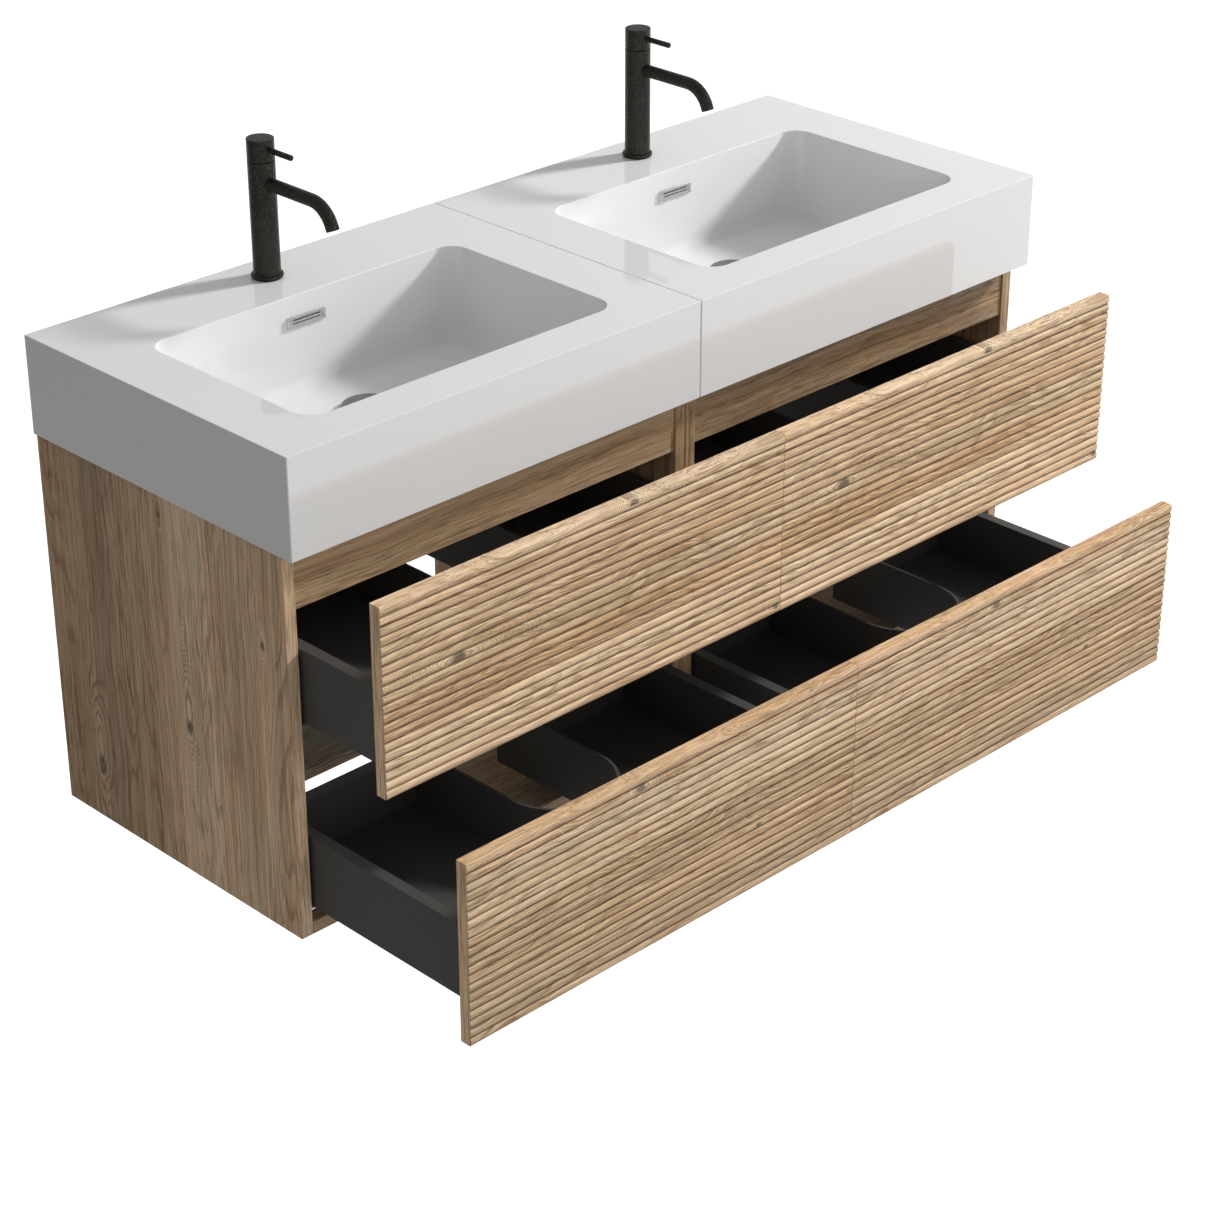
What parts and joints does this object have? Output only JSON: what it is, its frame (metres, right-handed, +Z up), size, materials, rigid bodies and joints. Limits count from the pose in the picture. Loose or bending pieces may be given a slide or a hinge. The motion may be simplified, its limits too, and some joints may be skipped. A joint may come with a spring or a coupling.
{
  "type": "bathroom vanity cabinet",
  "caption": "Wall-hung double bathroom vanity in fluted light oak: rectangular glazed basins with black mixer taps over stacked deep drawers, cut out round the traps, drawn part open.",
  "frame": {"origin": "on the wall plane, at mid width between the two basins, on the line of the wall fixings in the back rails, 168 mm below the basins' top", "axes": "+X along the width, to the right for someone facing the fronts; +Y into the wall, so the fronts face -Y; +Z up"},
  "size_m": [1.1994, 0.7037, 0.7575],
  "materials": {
    "oak": "matt, straight-grained light oak laminate with fine knots",
    "ceramic": "smooth glossy white glaze",
    "anthracite": "matt anthracite laminated board with lighter cut edges",
    "black": "matt black-bronze coating with a fine bright speckle",
    "chrome": "polished",
    "steel": "zinc-plated folded sheet",
    "plastic": "satin grey moulding"
  },
  "bodies": {
    "cabinet": {"left_side_panel_l": "oak", "left_side_panel_r": "oak", "left_top_rail": "oak", "left_bottom_board_front": "oak", "left_bottom_board_rear": "oak", "left_back_rail": "oak", "left_wall_bracket": "steel", "left_basin": "ceramic", "left_overflow_cover": "chrome", "left_drain_flange": "chrome", "left_waste_trap": "plastic", "left_tap_body": "black", "left_tap_spout": "black", "left_upper_runner_l": "steel", "left_upper_runner_r": "steel", "left_lower_runner_l": "steel", "left_lower_runner_r": "steel", "right_side_panel_l": "oak", "right_side_panel_r": "oak", "right_top_rail": "oak", "right_bottom_board_front": "oak", "right_bottom_board_rear": "oak", "right_back_rail": "oak", "right_wall_bracket": "steel", "right_basin": "ceramic", "right_overflow_cover": "chrome", "right_drain_flange": "chrome", "right_waste_trap": "plastic", "right_tap_body": "black", "right_tap_spout": "black", "right_upper_runner_l": "steel", "right_upper_runner_r": "steel", "right_lower_runner_l": "steel", "right_lower_runner_r": "steel"},
    "left_upper_drawer": {"left_upper_drawer_front": "oak", "left_upper_drawer_side_l": "anthracite", "left_upper_drawer_side_r": "anthracite", "left_upper_drawer_back": "anthracite", "left_upper_drawer_floor": "anthracite"},
    "left_lower_drawer": {"left_lower_drawer_front": "oak", "left_lower_drawer_side_l": "anthracite", "left_lower_drawer_side_r": "anthracite", "left_lower_drawer_back": "anthracite", "left_lower_drawer_floor": "anthracite"},
    "left_mixer_cartridge": {"left_tap_cartridge": "plastic"},
    "left_mixer_lever": {"left_tap_lever": "black"},
    "left_pop_up_plug": {"left_drain_plug": "chrome"},
    "right_upper_drawer": {"right_upper_drawer_front": "oak", "right_upper_drawer_side_l": "anthracite", "right_upper_drawer_side_r": "anthracite", "right_upper_drawer_back": "anthracite", "right_upper_drawer_floor": "anthracite"},
    "right_lower_drawer": {"right_lower_drawer_front": "oak", "right_lower_drawer_side_l": "anthracite", "right_lower_drawer_side_r": "anthracite", "right_lower_drawer_back": "anthracite", "right_lower_drawer_floor": "anthracite"},
    "right_mixer_cartridge": {"right_tap_cartridge": "plastic"},
    "right_mixer_lever": {"right_tap_lever": "black"},
    "right_pop_up_plug": {"right_drain_plug": "chrome"}
  },
  "joints": [
    {"name": "left_upper_drawer_slide", "type": "slide", "parent": "cabinet", "child": "left_upper_drawer", "axis": [0, -1, 0], "range_m": [-0.138, 0.182]},
    {"name": "left_lower_drawer_slide", "type": "slide", "parent": "cabinet", "child": "left_lower_drawer", "axis": [0, -1, 0], "range_m": [-0.2582, 0.0618]},
    {"name": "left_tap_turn", "type": "hinge", "parent": "cabinet", "child": "left_mixer_cartridge", "pos_m": [-0.3, -0.0512, 0.3083], "axis": [0, 0, 1], "range_deg": [-45, 45]},
    {"name": "left_tap_lift", "type": "hinge", "parent": "left_mixer_cartridge", "child": "left_mixer_lever", "pos_m": [-0.3, -0.0352, 0.3086], "axis": [-1, 0, 0], "range_deg": [0, 18]},
    {"name": "left_plug_slide", "type": "slide", "parent": "cabinet", "child": "left_pop_up_plug", "axis": [0, 0, 1], "range_m": [0, 0.008]},
    {"name": "right_upper_drawer_slide", "type": "slide", "parent": "cabinet", "child": "right_upper_drawer", "axis": [0, -1, 0], "range_m": [-0.138, 0.182]},
    {"name": "right_lower_drawer_slide", "type": "slide", "parent": "cabinet", "child": "right_lower_drawer", "axis": [0, -1, 0], "range_m": [-0.2582, 0.0618]},
    {"name": "right_tap_turn", "type": "hinge", "parent": "cabinet", "child": "right_mixer_cartridge", "pos_m": [0.3, -0.0512, 0.3083], "axis": [0, 0, 1], "range_deg": [-45, 45]},
    {"name": "right_tap_lift", "type": "hinge", "parent": "right_mixer_cartridge", "child": "right_mixer_lever", "pos_m": [0.3, -0.0352, 0.3086], "axis": [-1, 0, 0], "range_deg": [0, 18]},
    {"name": "right_plug_slide", "type": "slide", "parent": "cabinet", "child": "right_pop_up_plug", "axis": [0, 0, 1], "range_m": [0, 0.008]}
  ]
}
